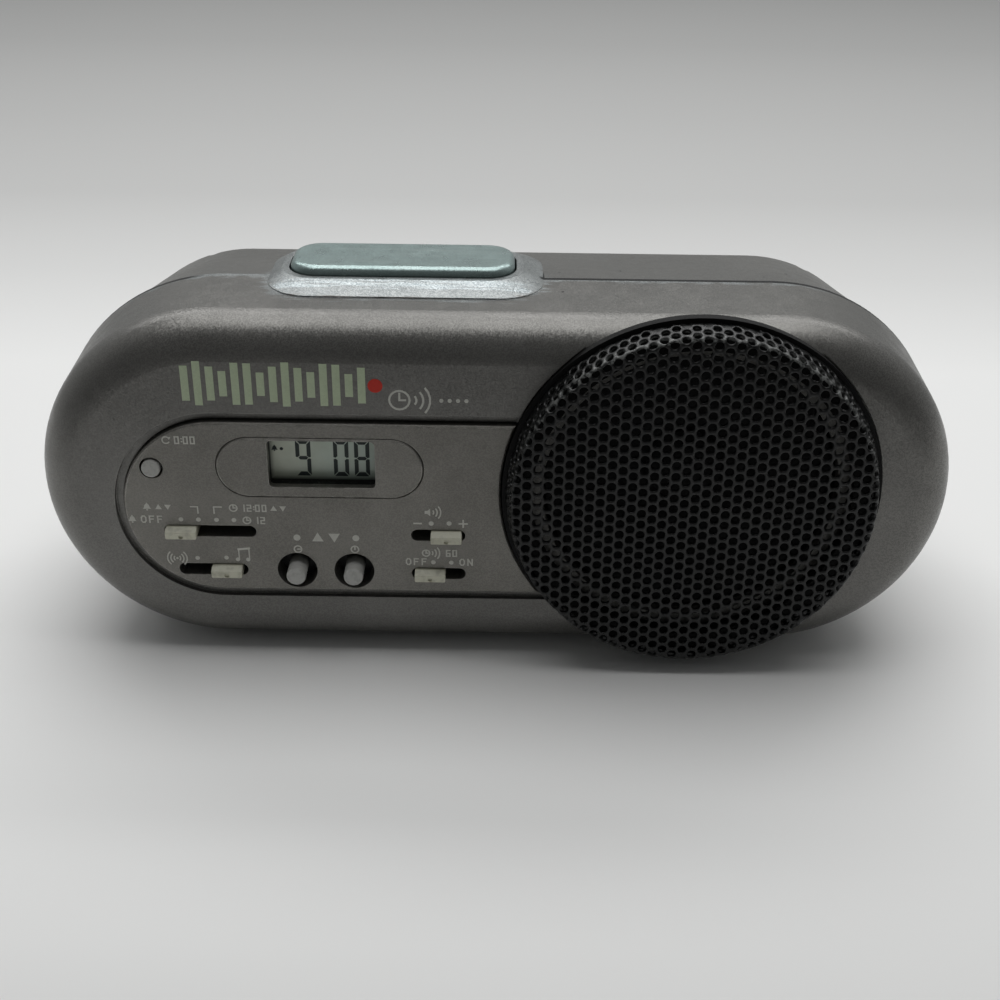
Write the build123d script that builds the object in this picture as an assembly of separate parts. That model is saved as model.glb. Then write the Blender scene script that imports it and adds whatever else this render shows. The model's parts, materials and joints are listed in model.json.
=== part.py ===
from build123d import *
import math
import os

os.makedirs("parts", exist_ok=True)

# Every length is in millimetres. X runs to the right, Y from the front to the back, Z up.
# The pieces are drawn round the seam between the two case halves, which lies in the plane
# Y = 0, and are moved as one at the end, so that the origin is under the clock's middle.

# Case
case_width = 160.0
case_height = 64.0
front_depth = 22.0
rear_depth = 34.3
front_draft_deg = 1.5
rear_draft_deg = 9.5
front_round = 7.0
rear_round = 8.0
wall = 2.6
seam_step = 0.4
seam_gap = 0.25
lip_length = 2.0
lip_thickness = 1.0
lip_fit = 0.2
foot_height = 1.0
overrun = 10.0
case_z = foot_height + case_height / 2
case_top = foot_height + case_height

# Grille and speaker
drum_end_gap = 46.4
drum_rise = 1.3
drum_x = case_width / 2 - drum_end_gap
drum_z = case_z + drum_rise
ring_overhang = 0.6
ring_radius = case_height / 2 + ring_overhang
ring_thickness = 1.7
ring_seat_depth = 0.8
ring_fit = 0.2
ring_rim = 0.6
collar_height = 1.5
boss_step = 2.0
boss_radius = ring_radius - boss_step
grille_radius = ring_radius - ring_rim
grille_reach = 5.8
grille_sheet = 0.6
grille_draft_deg = 11.5
grille_round = 0.9
hole_pitch = 2.05
hole_radius = 0.76
perforated_edge = 2.3
perforated_radius = grille_radius - perforated_edge
grille_fit = 0.2
speaker_edge = 3.5
speaker_radius = grille_radius - speaker_edge
speaker_fit = 0.3
speaker_shoulder = 3.0
sound_opening_radius = speaker_radius - speaker_shoulder
ring_lip = 1.0
ring_bore_radius = speaker_radius - ring_lip
gasket_thickness = 0.6
frame_thickness = 0.8
basket_depth = 11.0
magnet_radius = 16.0
magnet_depth = 8.0
yoke_thickness = 2.0
cone_surround = 1.5
cone_mouth_radius = sound_opening_radius - cone_surround
cone_throat_radius = 7.0
cone_depth = 7.5
cone_thickness = 0.5
dust_cap_height = 3.0
clamp_boss_radius = 2.2
clamp_head_radius = 4.0
clamp_head_height = 1.0
clamp_screw_radius = 1.0
clamp_screw_length = 4.0
clamp_degrees = (0.0, 132.0, 228.0)

# Control panel, in a shallow recess of the front
recess_left = -66.2
recess_height = 36.2
recess_depth = 1.0
panel_z = 30.2
groove_width = 1.6
panel_gap = 0.25
panel_proud = 0.5
panel_edge = 0.3
flange_width = 1.2
flange_thickness = 1.4
board_depth = 9.0
board_thickness = 1.6
board_left = -62.8
board_right = -2.5
board_bottom = 12.4
board_top = 48.0
board_corner = 2.0
post_radius = 1.8
control_posts = ((-52.0, 43.9), (-5.1, 43.9), (-40.7, 14.5), (-19.1, 14.5))
small_screw_radius = 0.9
small_head_radius = 1.8
small_head_height = 1.2
small_screw_length = 5.0
screw_fit = 0.05

# Display
bezel_x = -30.2
bezel_z = 38.4
bezel_width = 35.4
bezel_height = 11.2
bezel_gap = 0.15
bezel_proud = 0.25
bezel_thickness = 1.35
bezel_edge = 0.2
window_x = -29.85
window_z = 39.2
window_width = 18.3
window_height = 8.9
window_corner = 0.8
sleeve_wall = 0.4
sleeve_fit = 0.1
lcd_depth = 2.4
lcd_width = 24.0
lcd_height = 11.6
lcd_thickness = 2.0
lcd_wall = 0.9
lcd_fit = 0.2
lcd_lip = 0.4
strip_thickness = 1.4
strip_length = 22.0

# Slide switches, as (centre of the slot x, z, slot length, knob x)
slot_height = 2.3
knob_width = 5.4
knob_height = 1.9
knob_reach = 1.5
knob_bevel_height = 0.6
knob_bevel_depth = 1.1
knob_edge = 0.25
dimple_radius = 0.38
dimple_depth = 0.3
slide_depth = 4.6
carriage_width = 6.6
carriage_height = 3.0
carriage_thickness = 2.0
carriage_gap = 0.3
switch_wall = 1.2
slides = {
    "mode": (-49.95, 25.7, 16.1, -54.95),
    "alarm_sound": (-50.0, 17.9, 12.3, -47.5),
    "volume": (-10.05, 25.4, 9.5, -8.6),
    "report": (-10.0, 17.6, 9.6, -11.5),
}
slide_travel = {"mode": 9.4, "alarm_sound": -4.6, "volume": -3.1, "report": 3.1}

# Push buttons, as (x, z, hole radius, pin radius, reach beyond the panel)
push_buttons = {
    "reset": (-59.1, 38.0, 2.0, 1.6, 0.6),
    "hour": (-35.1, 17.9, 3.55, 1.7, 2.4),
    "minute": (-25.0, 17.9, 3.55, 1.7, 2.4),
}
push_edge = 0.35
push_travel = 1.0
push_gap = 0.3
push_collar_rim = 0.5
push_collar_thickness = 0.8
push_tail_radius = 1.0
push_tail_entry = 0.5
push_tail_fit = 0.25
tact_side = 6.2
dome_thickness = 0.2

# Talk bar on the top
bar_x = -16.95
bar_y = 3.6
bar_width = 39.4
bar_length = 14.0
bar_corner = 5.0
bar_gap = 0.35
bar_height = 1.5
bar_round = 1.3
bar_wall = 1.6
bar_travel = 1.5
bar_flange = 1.2
bar_flange_thickness = 1.2
bar_stop_gap = 0.3
surround_x = -16.2
surround_y = 1.6
surround_width = 48.0
surround_length = 24.0
surround_corner = 8.0
surround_rise = 1.1
surround_land = 1.2
surround_fit = 0.2
skirt_drop = 4.0
skirt_wall = 1.0
stem_spacing = 26.0
stem_radius = 1.6
stem_fit = 0.08
stem_drop = 4.0
bracket_drop = 11.0
bracket_thickness = 1.6
bracket_boss_x = (-43.5, 9.5)
bracket_boss_y = -8.0
bracket_boss_radius = 2.6
bracket_ear_radius = 3.6
bracket_back = 8.0
talk_switch_side = 6.2
talk_switch_height = 4.3
talk_pin_radius = 1.3
talk_pin_entry = 0.5
talk_pin_fit = 0.3
talk_pin_clearance = 0.7
bar_spring_radius = 2.6
bar_spring_wire = 0.5
bar_spring_turns = 6
spring_seat_gap = 0.06

# Battery bay and door
bay_x = -16.0
bay_width = 54.0
bay_height = 30.2
bay_depth = 15.0
bay_wall = 1.6
door_width = 57.0
door_height = 32.4
door_corner = 2.0
door_thickness = 1.7
door_gap = 0.3
door_grip_count = 5
door_grip_pitch = 1.6
door_grip_width = 0.7
door_grip_length = 9.0
door_grip_depth = 0.4
door_grip_inset = 7.0
cell_radius = 7.1
cell_length = 49.5
cell_nub_radius = 2.7
cell_nub_length = 1.0
cell_gap = 0.4
contact_side = 10.0
contact_thickness = 0.4
cell_spring_radius = 3.4
cell_spring_wire = 0.6
cell_spring_turns = 3

# Main board
main_board_y = 6.0
main_board_width = 60.0
main_board_height = 34.0
main_board_z = 31.0
main_post_radius = 2.6
main_post_inset = 4.0
chip_width = 32.0
chip_height = 9.0
chip_depth = 3.5
chip_x = -26.0
chip_z = 36.0
small_chip_side = 9.0
small_chip_x = -35.0
small_chip_z = 23.5
capacitor_radius = 2.5
capacitor_length = 8.0
capacitor_z = 21.0
capacitor_x = (-26.0, -18.0, -10.0)
crystal_radius = 1.0
crystal_length = 6.0
crystal_x = -2.0
crystal_z = 38.0

# Leads
lead_radius = 0.5
lead_fit = 0.1
lead_spacing = 4.0
lead_turn_share = 0.45
terminal_depth = 2.4
terminal_length = 5.0
terminal_height = 8.0
ribbon_x = 0.0
ribbon_z = 31.0
ribbon_jog = 6.0
ribbon_width = 10.0
ribbon_thickness = 0.8

# Case screws and feet
left_screw_inset = 25.0
left_screw_side_gap = 8.5
right_screw_inset = 22.0
right_screw_side_gap = 9.5
left_screw_x = left_screw_inset - case_width / 2
left_screw_spread = case_height / 2 - left_screw_side_gap
right_screw_x = case_width / 2 - right_screw_inset
right_screw_spread = case_height / 2 - right_screw_side_gap
front_boss_radius = 2.9
rear_boss_radius = 4.2
counterbore_radius = 2.6
screw_seat_y = 8.0
screw_hole_radius = 1.7
screw_radius = 1.4
screw_length = 20.0
screw_head_radius = 2.4
screw_head_height = 1.8
cross_width = 0.6
cross_length = 2.6
cross_depth = 0.9
foot_end_gap = 36.0
foot_x = case_width / 2 - foot_end_gap
front_foot_y = -8.0
rear_foot_y = 18.0
foot_radius = 4.5
foot_sink = 0.8
foot_fit = 0.1
foot_edge = 0.3
foot_boss_wall = 1.2

# Places worked out from the sizes above
face_y = -front_depth
drum_seat_y = face_y + ring_seat_depth
baffle_y = drum_seat_y + wall
ring_front_y = drum_seat_y - ring_thickness
grille_front_y = face_y - grille_reach
speaker_y = baffle_y + gasket_thickness
speaker_back_y = speaker_y + frame_thickness
magnet_front_y = speaker_back_y + basket_depth
bar_floor_z = case_top - wall
bar_top_z = case_top + surround_rise + bar_height
bracket_top_z = case_top - bracket_drop
bay_front_y = rear_depth - door_thickness - bay_depth
main_board_back_y = main_board_y + board_thickness
panel_face = -panel_proud
panel_back = wall + flange_thickness
reset_y = (grille_reach + front_depth - rear_depth) / 2
screw_places = [(x, case_z + level * spread) for level in (-1, 1) for x, spread in (
    (left_screw_x, left_screw_spread), (right_screw_x, right_screw_spread))]
foot_places = [(side * foot_x, y) for side in (-1, 1) for y in (front_foot_y, rear_foot_y)]


def depth(value):
    """Place on the Y axis that lies this far behind the front face."""
    return face_y + value


def prism(sketch, x, z, back, front):
    """A sketch in the front view, extruded from back to front along Y."""
    plane = Plane(origin=(x, back, z), x_dir=(1, 0, 0), z_dir=(0, -1, 0))
    return extrude(plane * sketch, back - front)


def column(sketch, x, y, bottom, top):
    """A sketch in the top view, extruded from bottom to top along Z."""
    return extrude(Plane(origin=(x, y, bottom)) * sketch, top - bottom)


def rod(radius, x, z, back, front):
    return prism(Circle(radius), x, z, back, front)


def turned(profile, x, z):
    """A profile of (radius, y) points, turned about a front to back axis."""
    face = make_face(Polyline(*[(r, y) for r, y in profile], close=True))
    return Pos(x, 0, z) * revolve(face, Axis.Y)


def front_block(inset, front, radius):
    outline = SlotOverall(case_width - 2 * inset, case_height - 2 * inset)
    plane = Plane(origin=(0, 0, case_z), x_dir=(1, 0, 0), z_dir=(0, -1, 0))
    block = extrude(plane * outline, -front, taper=front_draft_deg)
    return fillet(block.faces().sort_by(Axis.Y)[0].edges(), radius)


def rear_block(inset, back, radius):
    outline = SlotOverall(case_width - 2 * inset, case_height - 2 * inset)
    plane = Plane(origin=(0, 0, case_z), x_dir=(1, 0, 0), z_dir=(0, 1, 0))
    block = extrude(plane * outline, back, taper=rear_draft_deg)
    return fillet(block.faces().sort_by(Axis.Y)[-1].edges(), radius)


def drum(radius, back, front):
    return rod(radius, drum_x, drum_z, back, front)


def stadium_to_drum(left, height, back, front):
    """A stadium that starts at left and runs in under the drum."""
    width = drum_x - left
    return prism(SlotOverall(width, height), (left + drum_x) / 2, panel_z, back, front)


def surround_outline(grow):
    width = surround_width + 2 * grow
    length = surround_length + 2 * grow
    return RectangleRounded(width, length, surround_corner + grow)


def bar_outline(grow):
    return RectangleRounded(bar_width + 2 * grow, bar_length + 2 * grow, bar_corner + grow)


def clamp_places():
    reach = speaker_radius + speaker_fit + clamp_boss_radius
    turns = [math.radians(angle) for angle in clamp_degrees]
    return [(drum_x + reach * math.cos(a), drum_z + reach * math.sin(a)) for a in turns]


def helix_spring(radius, wire, height, turns):
    pitch = (height - wire) / turns
    path = Helix(pitch, pitch * turns, radius)
    section = Plane(origin=path @ 0, z_dir=path % 0) * Circle(wire / 2)
    return Pos(0, 0, wire / 2) * sweep(section, path=path, is_frenet=True)


def make_front_case():
    outer = front_block(0, face_y, front_round)
    shell = outer - front_block(wall, face_y + wall, front_round - wall)
    lip_inset = wall - lip_thickness
    lip = prism(SlotOverall(case_width - 2 * lip_inset, case_height - 2 * lip_inset), 0, case_z,
                lip_length, -lip_length)
    lip -= prism(SlotOverall(case_width - 2 * wall, case_height - 2 * wall), 0, case_z,
                 lip_length, -lip_length)
    shell += lip
    shell += drum(boss_radius, speaker_back_y, drum_seat_y)
    for x, z in screw_places:
        shell += rod(front_boss_radius, x, z, 0, face_y) & outer
    for x, z in clamp_places():
        shell += rod(clamp_boss_radius, x, z, speaker_back_y, face_y) & outer
    shell += make_tongue()
    for x in bracket_boss_x:
        shell += column(Circle(bracket_boss_radius), x, bracket_boss_y, bracket_top_z,
                        case_top - wall / 2)
    shell -= drum(ring_radius + ring_fit, drum_seat_y, face_y - overrun)
    shell -= drum(sound_opening_radius, baffle_y, face_y)
    shell -= drum(speaker_radius + speaker_fit, speaker_back_y, baffle_y)
    recess = stadium_to_drum(recess_left, recess_height, depth(recess_depth), face_y - overrun)
    shell -= recess - drum(ring_radius, depth(recess_depth), face_y - overrun)
    window = stadium_to_drum(recess_left + groove_width - panel_gap,
                             recess_height - 2 * (groove_width - panel_gap),
                             depth(panel_back + panel_gap), face_y)
    shell -= window - drum(ring_radius, depth(panel_back + panel_gap), face_y)
    shell -= column(bar_outline(bar_gap), bar_x, bar_y, bar_floor_z - overrun, bar_top_z)
    for x, z in screw_places:
        shell -= rod(screw_radius + screw_fit, x, z, lip_length, screw_seat_y - screw_length - screw_fit)
    for x, z in clamp_places():
        shell -= rod(clamp_screw_radius + screw_fit, x, z, speaker_back_y,
                     speaker_back_y - clamp_screw_length)
    for x in bracket_boss_x:
        shell -= column(Circle(small_screw_radius + screw_fit), x, bracket_boss_y, bracket_top_z,
                        bracket_top_z + small_screw_length)
    for x, y in foot_places:
        if y < 0:
            shell -= column(Circle(foot_radius + foot_fit), x, y, 0, foot_height + foot_sink)
    return shell


def make_tongue():
    """The raised surround of the talk bar and the part of it that reaches behind the seam."""
    base = Plane(origin=(surround_x, surround_y, case_top)) * surround_outline(0)
    top = Plane(origin=(bar_x, bar_y, case_top + surround_rise)) * bar_outline(bar_gap + surround_land)
    tongue = loft([base.faces()[0], top.faces()[0]])
    tongue += column(surround_outline(0), surround_x, surround_y, bar_floor_z, case_top)
    skirt_bottom = bar_floor_z - skirt_drop
    skirt = column(surround_outline(0), surround_x, surround_y, skirt_bottom, bar_floor_z)
    skirt -= column(surround_outline(-skirt_wall), surround_x, surround_y, skirt_bottom, bar_floor_z)
    front_half = Pos(surround_x, -overrun * 2, skirt_bottom) * Box(
        surround_width * 2, overrun * 4, overrun * 2)
    return tongue + (skirt - front_half)


def make_rear_case():
    outer = rear_block(seam_step, rear_depth, rear_round)
    inner = rear_block(seam_step + wall, rear_depth - wall, rear_round - wall)
    shell = outer - inner
    bay_size = Rectangle(bay_width + 2 * bay_wall, bay_height + 2 * bay_wall)
    shell += prism(bay_size, bay_x, case_z, rear_depth - wall / 2, bay_front_y - bay_wall)
    for x, z in screw_places:
        shell += rod(rear_boss_radius, x, z, rear_depth, 0) & outer
    for x, z in main_post_places():
        shell += rod(main_post_radius, x, z, bay_front_y, main_board_back_y)
    for x, y in foot_places:
        if y > 0:
            boss = column(Circle(foot_radius + foot_boss_wall), x, y, foot_height, case_z)
            shell += boss - inner
    lip_inset = wall - lip_thickness - lip_fit
    boss_ends = make_boss_ends()
    shell -= prism(SlotOverall(case_width - 2 * lip_inset, case_height - 2 * lip_inset), 0, case_z,
                   lip_length + lip_fit, 0) - boss_ends
    shell -= prism(SlotOverall(case_width, case_height), 0, case_z, seam_gap, -seam_gap) - boss_ends
    shell -= column(surround_outline(surround_fit), surround_x, surround_y,
                    bar_floor_z - skirt_drop - surround_fit, bar_top_z)
    shell -= prism(Rectangle(bay_width, bay_height), bay_x, case_z, rear_depth, bay_front_y)
    shell -= prism(RectangleRounded(door_width, door_height, door_corner), bay_x, case_z,
                   rear_depth + overrun, rear_depth - door_thickness)
    for x, z in screw_places:
        shell -= rod(counterbore_radius, x, z, rear_depth, screw_seat_y)
        shell -= rod(screw_hole_radius, x, z, screw_seat_y, -seam_gap)
    for x, z in main_post_places():
        shell -= rod(small_screw_radius + screw_fit, x, z, main_board_back_y + small_screw_length,
                     main_board_back_y)
    for z, side in cell_places():
        shell -= rod(lead_radius + lead_fit, lead_hole_x(), z, bay_front_y, bay_front_y - bay_wall)
    for x, y in foot_places:
        if y > 0:
            shell -= column(Circle(foot_radius + foot_fit), x, y, 0, foot_height + foot_sink)
    return shell


def make_boss_ends():
    """The ends of the rear screw bosses, which meet the front ones in the seam plane."""
    return Part() + [rod(rear_boss_radius, x, z, lip_length + lip_fit, 0) for x, z in screw_places]


def main_post_places():
    half_width = main_board_width / 2 - main_post_inset
    half_height = main_board_height / 2 - main_post_inset
    return [(bay_x + i * half_width, main_board_z + j * half_height) for i in (-1, 1) for j in (-1, 1)]


def make_control_panel():
    land_left = recess_left + groove_width
    land_height = recess_height - 2 * groove_width
    drum_hole = drum(ring_radius + panel_gap, depth(panel_back), face_y - overrun)
    land = stadium_to_drum(land_left, land_height, depth(wall), depth(panel_face)) - drum_hole
    rim = land.faces().sort_by(Axis.Y)[0].edges().filter_by(
        lambda edge: edge.center().X < bezel_x + bezel_width or edge.geom_type != GeomType.CIRCLE)
    land = chamfer(rim, panel_edge)
    flange = stadium_to_drum(land_left - flange_width, land_height + 2 * flange_width,
                             depth(panel_back), depth(wall))
    panel = land + (flange - drum_hole)
    for x, z in screw_places:
        panel -= rod(front_boss_radius + push_gap, x, z, 0, depth(wall))
    for x, z in control_posts:
        panel += rod(post_radius, x, z, depth(board_depth), depth(wall)) - drum_hole
        panel -= rod(small_screw_radius + screw_fit, x, z, depth(board_depth),
                     depth(board_depth) - small_screw_length)
    for x, z, length, knob_x in slides.values():
        panel -= prism(SlotOverall(length, slot_height), x, z, depth(panel_back), depth(panel_face))
    for x, z, hole, pin, reach in push_buttons.values():
        panel -= rod(hole, x, z, depth(panel_back), depth(panel_face))
    bezel_floor = bezel_thickness - bezel_proud - panel_proud
    panel -= prism(SlotOverall(bezel_width + 2 * bezel_gap, bezel_height + 2 * bezel_gap),
                   bezel_x, bezel_z, depth(bezel_floor), depth(panel_face))
    sleeve = sleeve_wall + sleeve_fit
    panel -= prism(Rectangle(window_width + 2 * sleeve, window_height + 2 * sleeve),
                   window_x, window_z, depth(panel_back), depth(bezel_floor))
    pocket = lcd_wall + lcd_fit + lcd_fit
    panel -= prism(Rectangle(lcd_width + 2 * pocket, lcd_height + 2 * pocket),
                   window_x, window_z, depth(panel_back), depth(lcd_depth - lcd_lip - lcd_fit))
    return panel


def make_display_bezel():
    top = -panel_proud - bezel_proud
    bezel = prism(SlotOverall(bezel_width, bezel_height), bezel_x, bezel_z,
                  depth(top + bezel_thickness), depth(top))
    bezel = chamfer(bezel.faces().sort_by(Axis.Y)[0].edges(), bezel_edge)
    window = RectangleRounded(window_width, window_height, window_corner)
    return bezel - prism(window, window_x, window_z, depth(top + bezel_thickness), depth(top))


def make_lcd_frame():
    """Black holder: a short sleeve behind the bezel and a box round the glass."""
    bezel_back = bezel_thickness - bezel_proud - panel_proud
    box_front = lcd_depth - lcd_lip
    outer_width = lcd_width + 2 * (lcd_fit + lcd_wall)
    outer_height = lcd_height + 2 * (lcd_fit + lcd_wall)
    frame = prism(Rectangle(window_width + 2 * sleeve_wall, window_height + 2 * sleeve_wall),
                  window_x, window_z, depth(box_front), depth(bezel_back))
    frame += prism(Rectangle(outer_width, outer_height), window_x, window_z,
                   depth(board_depth), depth(box_front))
    frame -= prism(Rectangle(window_width, window_height), window_x, window_z,
                   depth(lcd_depth), depth(bezel_back))
    frame -= prism(Rectangle(lcd_width + 2 * lcd_fit, lcd_height + 2 * lcd_fit), window_x,
                   window_z, depth(board_depth), depth(lcd_depth))
    return frame


def make_lcd_glass():
    return prism(Rectangle(lcd_width, lcd_height), window_x, window_z,
                 depth(lcd_depth + lcd_thickness), depth(lcd_depth))


def make_lcd_connectors():
    rise = lcd_height / 2 - strip_thickness
    strips = [prism(Rectangle(strip_length, strip_thickness), window_x, window_z + side * rise,
                    depth(board_depth), depth(lcd_depth + lcd_thickness)) for side in (-1, 1)]
    return Part() + strips


def make_control_board():
    width = board_right - board_left
    height = board_top - board_bottom
    board = prism(RectangleRounded(width, height, board_corner), (board_left + board_right) / 2,
                  (board_bottom + board_top) / 2, depth(board_depth + board_thickness),
                  depth(board_depth))
    for x, z in control_posts:
        board -= rod(small_screw_radius + screw_fit, x, z, depth(board_depth + board_thickness),
                     depth(board_depth))
    return board


def make_slide_switch(name):
    """Switch body with the channel that its carriage runs in."""
    x, z, length, knob_x = slides[name]
    travel = slide_travel[name]
    channel = abs(travel) + carriage_width + 2 * carriage_gap
    middle = knob_x + travel / 2
    body = prism(Rectangle(channel + 2 * switch_wall, carriage_height + 2 * (carriage_gap + switch_wall)),
                 middle, z, depth(board_depth), depth(slide_depth))
    return body - prism(Rectangle(channel, carriage_height + 2 * carriage_gap), middle, z,
                        depth(slide_depth + carriage_thickness + 2 * carriage_gap), depth(slide_depth))


def make_slider(name):
    """Knob, stem and carriage of a slide switch, moulded as one."""
    x, z, length, knob_x = slides[name]
    front = -panel_proud - knob_reach
    back = slide_depth + carriage_gap
    knob = prism(RectangleRounded(knob_width, knob_height, knob_edge), knob_x, z, depth(back), depth(front))
    bevel_side = make_face(Polyline(
        (depth(front), z + knob_height / 2 - knob_bevel_height),
        (depth(front), z + knob_height / 2),
        (depth(front) + knob_bevel_depth, z + knob_height / 2), close=True))
    side_plane = Plane(origin=(knob_x - knob_width / 2, 0, 0), x_dir=(0, 1, 0), z_dir=(1, 0, 0))
    knob -= extrude(side_plane * bevel_side, knob_width)
    knob -= rod(dimple_radius, knob_x, z - knob_height / 4, depth(front + dimple_depth), depth(front))
    carriage = prism(Rectangle(carriage_width, carriage_height), knob_x, z,
                     depth(back + carriage_thickness), depth(back))
    return knob + carriage


def make_push_button(name):
    x, z, hole, pin, reach = push_buttons[name]
    tip = -panel_proud - reach
    collar_front = panel_back + push_gap
    collar_back = collar_front + push_collar_thickness
    button = rod(pin, x, z, depth(collar_back), depth(tip))
    button = fillet(button.faces().sort_by(Axis.Y)[0].edges(), push_edge)
    button += rod(hole + push_collar_rim, x, z, depth(collar_back), depth(collar_front))
    tail_end = collar_back + push_travel + push_gap + push_tail_entry
    return button + rod(push_tail_radius, x, z, depth(tail_end), depth(collar_back))


def tact_front():
    return panel_back + 2 * push_gap + push_collar_thickness + push_travel


def make_push_switches():
    bodies = []
    for x, z, hole, pin, reach in push_buttons.values():
        body = prism(Rectangle(tact_side, tact_side), x, z, depth(board_depth), depth(tact_front()))
        bore = push_tail_radius + push_tail_fit
        bodies.append(body - rod(bore, x, z, depth(board_depth - dome_thickness), depth(tact_front())))
    return Part() + bodies


def make_switch_domes():
    back = board_depth - dome_thickness
    domes = [rod(push_tail_radius, x, z, depth(back), depth(back - dome_thickness))
             for x, z, hole, pin, reach in push_buttons.values()]
    return Part() + domes


def make_talk_bar():
    flange_top = bar_floor_z - bar_stop_gap
    flange_bottom = flange_top - bar_flange_thickness
    ceiling = bar_top_z - bar_wall
    bar = column(bar_outline(0), bar_x, bar_y, flange_bottom, bar_top_z)
    bar = fillet(bar.faces().sort_by(Axis.Z)[-1].edges(), bar_round)
    bar += column(bar_outline(bar_flange), bar_x, bar_y, flange_bottom, flange_top)
    bar -= column(bar_outline(-bar_wall), bar_x, bar_y, flange_bottom, ceiling)
    stem_bottom = bracket_top_z - bracket_thickness - stem_drop
    for x in stem_places():
        bar += column(Circle(stem_radius), x, bar_y, stem_bottom, ceiling)
    pin_end = bracket_top_z + talk_switch_height - talk_pin_entry
    return bar + column(Circle(talk_pin_radius), bar_x, bar_y, pin_end, ceiling)


def stem_places():
    return [bar_x - stem_spacing / 2, bar_x + stem_spacing / 2]


def make_talk_bracket():
    """Shelf under the talk bar that guides its stems and carries its switch."""
    bottom = bracket_top_z - bracket_thickness
    left, right = bracket_boss_x
    back = bar_y + bracket_back
    plate = column(Rectangle(right - left, back - bracket_boss_y), (left + right) / 2,
                   (back + bracket_boss_y) / 2, bottom, bracket_top_z)
    for x in bracket_boss_x:
        plate += column(Circle(bracket_ear_radius), x, bracket_boss_y, bottom, bracket_top_z)
    for x in bracket_boss_x:
        plate -= column(Circle(small_screw_radius + screw_fit), x, bracket_boss_y, bottom, bracket_top_z)
    for x in stem_places():
        plate += column(Circle(stem_radius * 2), x, bar_y, bottom - stem_radius, bottom)
        plate -= column(Circle(stem_radius + stem_fit), x, bar_y, bottom - stem_radius, bracket_top_z)
    return plate


def make_talk_switch():
    body = column(Rectangle(talk_switch_side, talk_switch_side), bar_x, bar_y, bracket_top_z,
                  bracket_top_z + talk_switch_height)
    pocket = talk_pin_entry + bar_travel + talk_pin_clearance
    return body - column(Circle(talk_pin_radius + talk_pin_fit), bar_x, bar_y,
                         bracket_top_z + talk_switch_height - pocket, bracket_top_z + talk_switch_height)


def make_bar_springs():
    bottom = bracket_top_z + spring_seat_gap
    height = bar_top_z - bar_wall - bracket_top_z - 2 * spring_seat_gap
    spring = helix_spring(bar_spring_radius, bar_spring_wire, height, bar_spring_turns)
    return Part() + [Pos(x, bar_y, bottom) * spring for x in stem_places()]


def screw(radius, length, head_radius, head_height, cross):
    """A screw along Y: its head's seat lies in the plane Y = 0 and its shank points to -Y."""
    body = rod(radius, 0, 0, 0, -length) + rod(head_radius, 0, 0, head_height, 0)
    width, reach, deep = cross
    for size in ((reach, width), (width, reach)):
        body -= prism(Rectangle(*size), 0, 0, head_height, head_height - deep)
    return body


def small_screw():
    share = small_head_radius / screw_head_radius
    cross = (cross_width * share, cross_length * share, cross_depth * share)
    return screw(small_screw_radius, small_screw_length, small_head_radius, small_head_height, cross)


def make_case_screws():
    piece = screw(screw_radius, screw_length, screw_head_radius, screw_head_height,
                  (cross_width, cross_length, cross_depth))
    return Part() + [Pos(x, screw_seat_y, z) * piece for x, z in screw_places]


def make_panel_screws():
    seat = depth(board_depth + board_thickness)
    return Part() + [Pos(x, seat, z) * small_screw() for x, z in control_posts]


def make_main_board_screws():
    turned_piece = Rot(0, 0, 180) * small_screw()
    return Part() + [Pos(x, main_board_y, z) * turned_piece for x, z in main_post_places()]


def make_bracket_screws():
    upright = Rot(-90, 0, 0) * small_screw()
    seat = bracket_top_z - bracket_thickness
    return Part() + [Pos(x, bracket_boss_y, seat) * upright for x in bracket_boss_x]


def make_speaker_screws():
    """Wide headed screws that clamp the speaker's rim."""
    piece = screw(clamp_screw_radius, clamp_screw_length, clamp_head_radius, clamp_head_height,
                  (cross_width, cross_length, clamp_head_height / 2))
    return Part() + [Pos(x, speaker_back_y, z) * piece for x, z in clamp_places()]


def make_grille_ring():
    base = drum(ring_radius, drum_seat_y, ring_front_y)
    collar_radius = grille_radius - grille_sheet - grille_fit
    collar = drum(collar_radius, drum_seat_y, ring_front_y - collar_height)
    draft_trim = math.tan(math.radians(grille_draft_deg)) * collar_height
    collar = chamfer(collar.faces().sort_by(Axis.Y)[0].edges(), draft_trim + grille_fit)
    return base + collar - drum(ring_bore_radius, drum_seat_y, face_y - overrun)


def grille_cup(radius, back, front, rounding):
    plane = Plane(origin=(drum_x, back, drum_z), x_dir=(1, 0, 0), z_dir=(0, -1, 0))
    cup = extrude(plane * Circle(radius), back - front, taper=grille_draft_deg)
    return fillet(cup.faces().sort_by(Axis.Y)[0].edges(), rounding)


def hole_places():
    """Centres of the grille's holes, in upright columns, every other column half a step up."""
    column_step = hole_pitch * math.sqrt(3) / 2
    reach = math.ceil(perforated_radius / column_step)
    places = []
    for i in range(-reach, reach + 1):
        for j in range(-reach, reach + 1):
            x = i * column_step
            z = (j + (i % 2) / 2) * hole_pitch
            if math.hypot(x, z) < perforated_radius - hole_radius:
                places.append((x, z))
    return places


def make_speaker_grille():
    outer = grille_cup(grille_radius, ring_front_y, grille_front_y, grille_round)
    inner = grille_cup(grille_radius - grille_sheet, ring_front_y, grille_front_y + grille_sheet,
                       grille_round - grille_sheet)
    rim = outer - inner - drum(perforated_radius, ring_front_y, grille_front_y)
    holes = [Pos(x, z) * Circle(hole_radius).wire() for x, z in hole_places()]
    sheet_face = Face(Circle(perforated_radius).wire(), holes)
    plane = Plane(origin=(drum_x, grille_front_y + grille_sheet, drum_z), x_dir=(1, 0, 0), z_dir=(0, -1, 0))
    return rim + extrude(plane * sheet_face, grille_sheet)


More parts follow.
